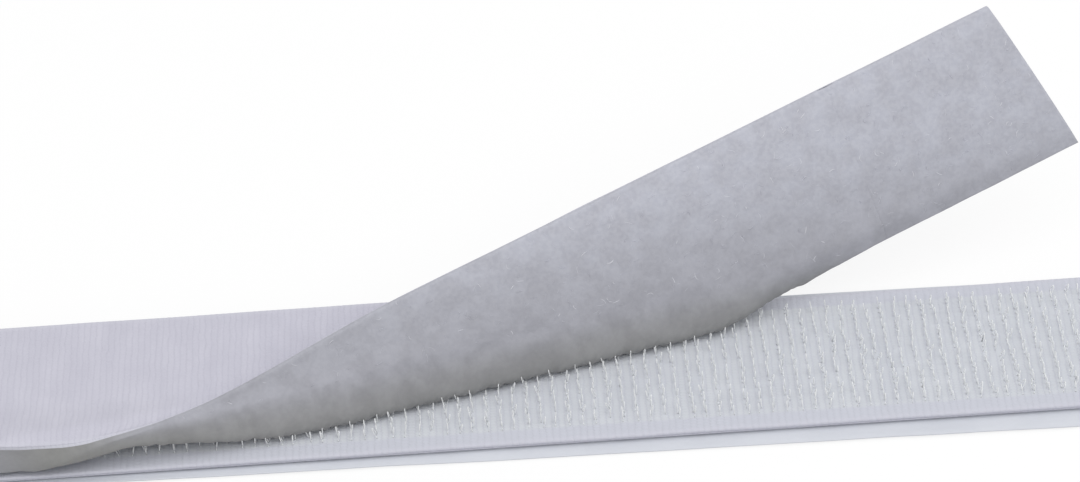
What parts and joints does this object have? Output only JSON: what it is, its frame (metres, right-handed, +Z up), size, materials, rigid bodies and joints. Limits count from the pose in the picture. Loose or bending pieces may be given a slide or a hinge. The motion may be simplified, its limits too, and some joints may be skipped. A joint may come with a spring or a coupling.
{
  "type": "hook and loop tape",
  "caption": "White woven hook strip on a release liner, with a loop strip pressed on it that peels up along a slanting fold to a free end.",
  "frame": {"origin": "under the middle of the hook strip, on the underside of the release liner", "axes": "+X along the tape towards the free end of the loop strip, +Y across it away from the edge that peels first, +Z up out of the hooks"},
  "size_m": [0.1504, 0.0372, 0.0299],
  "materials": {
    "liner_paper": "satin coated paper",
    "adhesive": "clear soft film",
    "back_coating": "thin matt binder over the weave",
    "hook_web": "close woven white nylon",
    "hook_filament": "translucent nylon monofilament",
    "loop_web": "close woven white nylon",
    "loop_pile": "napped multifilament loops"
  },
  "bodies": {
    "liner": {"release_liner": "liner_paper"},
    "hook_strip": {"adhesive_layer": "adhesive", "hook_coating": "back_coating", "hook_web": "hook_web", "hook_band_1": "hook_filament", "hook_band_2": "hook_filament", "hook_band_3": "hook_filament", "hook_band_4": "hook_filament"},
    "loop_strip": {"loop_coating_closed": "back_coating", "loop_web_closed": "loop_web", "loop_pile_closed": "loop_pile", "loop_coating_bend": "back_coating", "loop_web_bend": "loop_web", "loop_pile_bend": "loop_pile"},
    "loop_flap": {"loop_coating_flap": "back_coating", "loop_web_flap": "loop_web", "loop_pile_flap": "loop_pile", "loop_coating_flex": "back_coating", "loop_web_flex": "loop_web", "loop_pile_flex": "loop_pile"},
    "loop_free_end": {"loop_coating_end": "back_coating", "loop_web_end": "loop_web", "loop_pile_end": "loop_pile"}
  },
  "joints": [
    {"name": "hook_off_liner", "type": "slide", "parent": "liner", "child": "hook_strip", "axis": [0, 0, 1], "range_m": [0, 0.03]},
    {"name": "loop_off_hook", "type": "slide", "parent": "hook_strip", "child": "loop_strip", "axis": [0, 0, 1], "range_m": [0, 0.03]},
    {"name": "loop_peel", "type": "hinge", "parent": "loop_strip", "child": "loop_flap", "pos_m": [-0.01193, -0.00186, 0.00461], "axis": [-0.9703, -0.2419, 0], "range_deg": [-110, 60], "deforming": ["loop_coating_bend", "loop_web_bend", "loop_pile_bend"]},
    {"name": "free_end_bend", "type": "hinge", "parent": "loop_flap", "child": "loop_free_end", "pos_m": [0.0431, 0.01561, 0.01653], "axis": [-0.315, 0.2635, 0.9118], "range_deg": [0, 60], "deforming": ["loop_coating_flex", "loop_web_flex", "loop_pile_flex"]}
  ]
}
